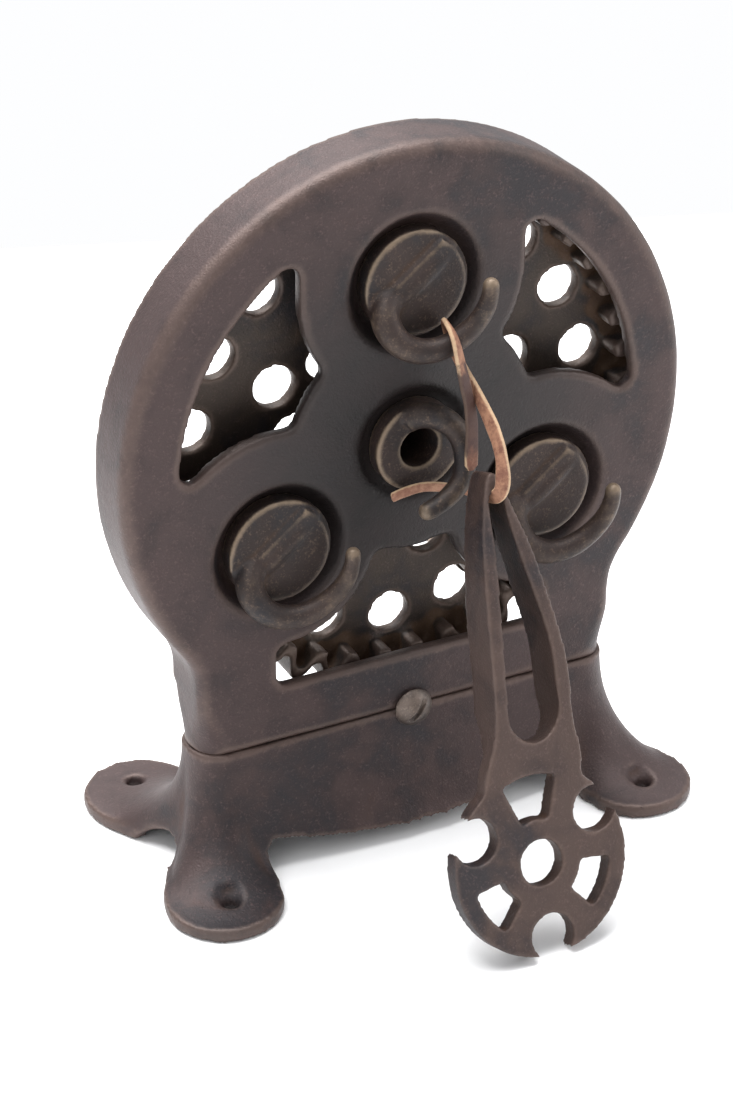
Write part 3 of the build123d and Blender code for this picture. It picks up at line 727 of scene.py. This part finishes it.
@dataclass
class Grip:
    """The turned grip: a waisted handle with rings cut near both ends. The grooves and the stops are shares of
    its length, the sizes and the grooves' depth shares of its widest radius."""

    finish: bpy.types.Material
    around: int = 96
    along: int = 220
    stops: tuple[float, ...] = (0.0, 0.06, 0.3, 0.68, 0.92, 1.0)
    sizes: tuple[float, ...] = (0.76, 0.86, 0.84, 1.0, 0.86, 0.66)
    softness: int = 60
    grooves: tuple[float, ...] = (0.075, 0.1, 0.9)
    groove_depth: float = 0.05
    groove_width: float = 0.008
    lip: float = 1.6
    bore: float = 4.1
    edge_reach: int = 5
    edge_size: float = 0.35

    def build(self) -> None:
        """Builds the grip: the radius at each station along Y, spun round its spindle and closed by its bore.
        The radius is the sizes at the stops, as shares of the widest, softened, less a bell-shaped groove at
        each ring, and it turns in on a quarter circle at both ends."""
        low, high = (np.array(c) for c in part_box("grip"))
        centre = (low + high) / 2
        length = high[1] - low[1]
        radius = (high[0] - low[0]) / 2
        t = np.linspace(0, 1, self.along)
        fine = np.interp(t, self.stops, self.sizes)
        for _ in range(self.softness):
            fine[1:-1] = (fine[:-2] + fine[1:-1] * 2 + fine[2:]) / 4
        for place in self.grooves:
            fine -= self.groove_depth * np.exp(-((t - place) / self.groove_width) ** 2)
        ends = np.minimum(t, 1 - t) * length
        lip = self.lip * MM
        fall = lip - np.sqrt(np.maximum(lip ** 2 - np.maximum(lip - ends, 0) ** 2, 0))
        outer = fine * radius - fall
        bore = self.bore * MM
        y = np.concatenate([[low[1]], low[1] + t * length, [high[1]]])
        r = np.concatenate([[bore], outer, [bore]])
        turn = np.linspace(0, 2 * np.pi, self.around, endpoint=False)[None, :]
        rows = np.stack([centre[0] + r[:, None] * np.cos(turn), np.repeat(y[:, None], self.around, 1),
                         centre[2] + r[:, None] * np.sin(turn)], axis=-1)
        surface = Surface.grid(rows[::-1], True, True)
        surface.mark_edges(self.edge_reach, self.edge_size * MM)
        made = surface.piece("turned_grip", self.finish)
        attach(made, "crank_grip")
        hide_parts("grip")
        LOG.info("turned_grip: %d points", len(surface.points))


@dataclass
class Strip:
    """A leather strip along a route, with its flat side turning as it goes. Its width and thickness are in
    millimetres and its length in metres."""

    name: str
    body: str
    node: str
    finish: bpy.types.Material
    route: Sequence[tuple[float, float, float]]
    width: float
    thick: float
    length: float
    twist: Sequence[float] = (0.0, 0.0)
    samples: int = 260
    around: int = 20
    softness: int = 4
    waver: float = 0.1
    waver_size: float = 6
    waver_seed: int = 11
    taper: float = 0.012
    tip: float = 0.25
    squareness: float = 0.55

    def line(self) -> Array:
        """The route's smooth line: a NURBS spline of order 3 with the route's points as its control points."""
        data = bpy.data.curves.new(self.name + "_route", "CURVE")
        data.dimensions = "3D"
        data.resolution_u = 24
        spline = data.splines.new("NURBS")
        spline.points.add(len(self.route) - 1)
        for point, (x, depth, z) in zip(spline.points, self.route):
            point.co = (x * MM, (FACE_Y + depth) * MM, z * MM, 1)
        spline.order_u = 3
        spline.use_endpoint_u = True
        carrier = bpy.data.objects.new("route", data)
        bpy.context.scene.collection.objects.link(carrier)
        graph = bpy.context.evaluated_depsgraph_get()
        mesh = bpy.data.meshes.new_from_object(carrier.evaluated_get(graph))
        points = np.empty(len(mesh.vertices) * 3)
        mesh.vertices.foreach_get("co", points)
        bpy.data.objects.remove(carrier)
        bpy.data.curves.remove(data)
        bpy.data.meshes.remove(mesh)
        return points.reshape(-1, 3)

    def build(self) -> None:
        """Builds the strip: a flat section carried along the line. The section is an ellipse, cos(phi) wide and
        sin(phi) thick, whose cosine and sine are raised to the squareness, which makes it a rounded oblong. Its
        sides are the line's own, carried on with the least turn, plus the twist. Its edges waver a little, as
        where a knife has cut hide, and its ends taper."""
        coarse = self.line()
        steps = np.linalg.norm(np.diff(coarse, axis=0), axis=1)
        at = np.concatenate([[0], np.cumsum(steps)])
        s = np.linspace(0, at[-1], self.samples)
        line = np.stack([np.interp(s, at, coarse[:, i]) for i in range(3)], axis=1)
        for _ in range(self.softness):
            line[1:-1] = (line[:-2] + 2 * line[1:-1] + line[2:]) / 4
        tangent = np.gradient(line, axis=0)
        tangent /= np.linalg.norm(tangent, axis=1, keepdims=True)
        side = np.cross(tangent[0], (0.0, 1.0, 0.0))
        sides = []
        for t in tangent:
            side = side - t * side.dot(t)
            side /= np.linalg.norm(side)
            sides.append(side)
        sides = np.array(sides)
        other = np.cross(tangent, sides)
        share = s / s[-1]
        angle = np.radians(np.interp(share, np.linspace(0, 1, len(self.twist)), self.twist))[:, None]
        flat = sides * np.cos(angle) + other * np.sin(angle)
        thin = other * np.cos(angle) - sides * np.sin(angle)
        phi = np.linspace(0, 2 * np.pi, self.around, endpoint=False)[None, :]
        along = np.stack([s / MM, s * 0, s * 0], 1)
        waver = 1 + self.waver * smooth_noise(along, self.waver_size, self.waver_seed)[:, None]
        taper = np.clip(np.minimum(share, 1 - share) / self.taper, self.tip, 1)[:, None] ** 0.5
        wide, high = (size * MM / 2 * taper * np.sign(wave) * np.abs(wave) ** self.squareness
                      for size, wave in ((self.width, np.cos(phi)), (self.thick, np.sin(phi))))
        wide = wide * waver
        rows = line[:, None, :] + wide[..., None] * flat[:, None, :] + high[..., None] * thin[:, None, :]
        points = np.concatenate([rows.reshape(-1, 3), line[:1], line[-1:]])
        surface = Surface.grid(rows, False, True)
        first, last, n = len(points) - 2, len(points) - 1, self.around
        start = np.arange(n)
        end = start + (self.samples - 1) * n
        caps = [np.stack([start, np.full(n, first), np.roll(start, -1)], axis=1),
                np.stack([np.roll(end, -1), np.full(n, last), end], axis=1)]
        strip = Surface(points, surface.faces.tolist() + np.concatenate(caps).tolist())
        strip.numbers["along"] = np.concatenate([np.repeat(share, n), [0, 1]])
        across = np.abs(np.cos(phi)) * np.ones((self.samples, 1))
        strip.numbers["across"] = np.concatenate([across.ravel(), [0.5, 0.5]])
        made = strip.piece(self.name, self.finish)
        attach(made, self.body)
        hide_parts(self.node)
        self.width * MM
        LOG.info("%s: %.1f mm", self.name, s[-1] / MM)


@dataclass
class Laces:
    """The lace over the top hook, and the cut-off tail caught behind the centre hook."""

    lace_line: tuple = ((9.0, -22.4, 147.0), (9.7, -21.2, 154.0), (10.4, -20.0, 165.3), (6.6, -19.0, 183.0),
                        (4.4, -18.4, 194.4), (7.0, -6.0, 194.8), (10.4, -7.6, 182.0), (13.2, -17.0, 172.5),
                        (13.4, -30.0, 163.4), (11.6, -38.8, 156.6), (8.9, -43.6, 146.5), (8.9, -26.1, 140.2),
                        (8.8, -24.4, 131.9))
    tail_line: tuple = ((-11.5, -5.9, 134.0), (-3.0, -5.95, 136.0), (5.0, -8.0, 135.4), (12.0, -10.0, 133.4),
                        (17.5, -11.6, 131.6))

    def build(self) -> None:
        """Builds both strips."""
        lace, tail = LACE_LEATHER.material(), TAIL_LEATHER.material()
        Strip("lace_strip", "lace_loop", "lace", lace, self.lace_line, width=4.8, thick=1.9,
              length=0.1448, twist=(0, 30, 60, 40, 10, 0)).build()
        Strip("lace_tail_strip", "drive", "lace_tail", tail, self.tail_line, width=3.8, thick=1.2,
              length=0.0304, twist=(0, 25), samples=90).build()


# ------------------------------------------------------------------ studio
@dataclass(frozen=True)
class Lamp:
    """A square lamp that faces the object. Its place and its side are in metres, its power in watts."""

    name: str
    at: tuple[float, float, float]
    size: float
    power: float
    aim: tuple[float, float, float] = (0, 0, 0.12)

    def build(self) -> None:
        """Hangs the lamp."""
        data = bpy.data.lights.new(self.name, "AREA")
        data.size = self.size
        data.energy = self.power
        made = bpy.data.objects.new(self.name, data)
        bpy.context.scene.collection.objects.link(made)
        made.location = self.at
        made.rotation_euler = (Vector(self.aim) - Vector(self.at)).to_track_quat("-Z", "Y").to_euler()


@dataclass
class Studio:
    """The white table, soft light from above and behind, and the camera. The camera and the table's far edge
    are placed in millimetres; how far the camera sees, and the table's reach and drop, are in metres."""

    camera_at: tuple[float, float, float] = (-397.32, -764.49, 577.37)
    looks_at: tuple[float, float, float] = (-17.713, -17.6, 113.058)
    focal_px: float = 2875.7
    frame_height_px: float = 1100
    sensor: float = 36.0
    sight: float = 20
    lamps: tuple[Lamp, ...] = (Lamp("overhead", (-0.1, 0.4, 1.5), 1.5, 74),
                               Lamp("left front", (-1.4, -1.0, 1.2), 1.2, 6),
                               Lamp("right front", (1.5, -0.8, 0.9), 1.0, 11))
    table_edge: tuple = ((45.9, 533.9), (402.7, 406.1))
    table_half: float = 6.0
    table_drop: float = 0.0003
    table_tint: Colour = (0.97, 0.97, 0.975, 1.0)
    table_roughness: float = 0.75
    sky_tint: Colour = (0.96, 0.98, 1.0, 1.0)
    sky_strength: float = 0.6
    backdrop_tint: Colour = (0.985, 0.99, 1.0, 1.0)

    def camera(self) -> None:
        """Places the camera. Its sensor's height is the frame's height."""
        data = bpy.data.cameras.new("camera")
        data.sensor_fit = "VERTICAL"
        data.sensor_height = self.sensor
        data.lens = self.sensor * self.focal_px / self.frame_height_px
        data.clip_end = self.sight
        made = bpy.data.objects.new("camera", data)
        bpy.context.scene.collection.objects.link(made)
        at, target = Vector(self.camera_at) * MM, Vector(self.looks_at) * MM
        made.location = at
        made.rotation_euler = (target - at).to_track_quat("-Z", "Y").to_euler()
        bpy.context.scene.camera = made

    def floor(self) -> None:
        """Adds the table: a large white plane just under the feet, that ends on the line through table_edge."""
        half = self.table_half
        (x0, y0), (x1, y1) = self.table_edge
        slope = (y1 - y0) / (x1 - x0)
        far = [(x, (y0 + slope * (x / MM - x0)) * MM, 0) for x in (half, -half)]
        mesh = bpy.data.meshes.new("table")
        mesh.from_pydata([(-half, -half, 0), (half, -half, 0), *far], [], [(0, 1, 2, 3)])
        shader = Shader("table white")
        shader.finish(Base_Color=self.table_tint, Roughness=self.table_roughness)
        mesh.materials.append(shader.material)
        made = bpy.data.objects.new("table", mesh)
        made.location.z = -self.table_drop
        bpy.context.scene.collection.objects.link(made)

    def sky(self) -> None:
        """Fills the world with an even light, that the camera and reflections see as a white backdrop."""
        world = bpy.data.worlds.new("studio")
        bpy.context.scene.world = world
        nodes = NodeTree(world)
        direct, glossy, through = (nodes.node("ShaderNodeLightPath", {}, {}, ray + " Ray")
                                   for ray in ("Is Camera", "Is Glossy", "Is Transmission"))
        seen = direct.larger(glossy).larger(through)
        even = nodes.node("ShaderNodeBackground", {}, {"Color": self.sky_tint, "Strength": self.sky_strength})
        white = nodes.node("ShaderNodeBackground", {}, {"Color": self.backdrop_tint, "Strength": 1.0})
        mixed = nodes.node("ShaderNodeMixShader", {}, {0: seen, 1: even, 2: white})
        nodes.end_in("ShaderNodeOutputWorld", mixed)

    def build(self) -> None:
        """Sets up the camera, lamps, floor and world."""
        self.camera()
        for lamp in self.lamps:
            lamp.build()
        self.floor()
        self.sky()
        bpy.context.scene.view_settings.view_transform = "Standard"


def main() -> None:
    """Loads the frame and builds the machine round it."""
    logging.basicConfig(level=logging.INFO, format="%(name)s: %(message)s")
    FRAME.update(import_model())
    Studio().build()
    Laces().build()
    iron, gear, hook, steel = (f.material() for f in (CAST_IRON, GEAR_IRON, HOOK_IRON, SCREW_STEEL))
    Frame(iron).build()
    Machinery(gear, hook, steel).build()
    Casting("separator", "strand_separator", SEPARATOR_IRON.material(), "separator_iron", voxel=0.8, rounds=5,
            waviness=0.14).build()
    Grip(GRIP_WOOD.material()).build()


if __name__ == "__main__":
    main()
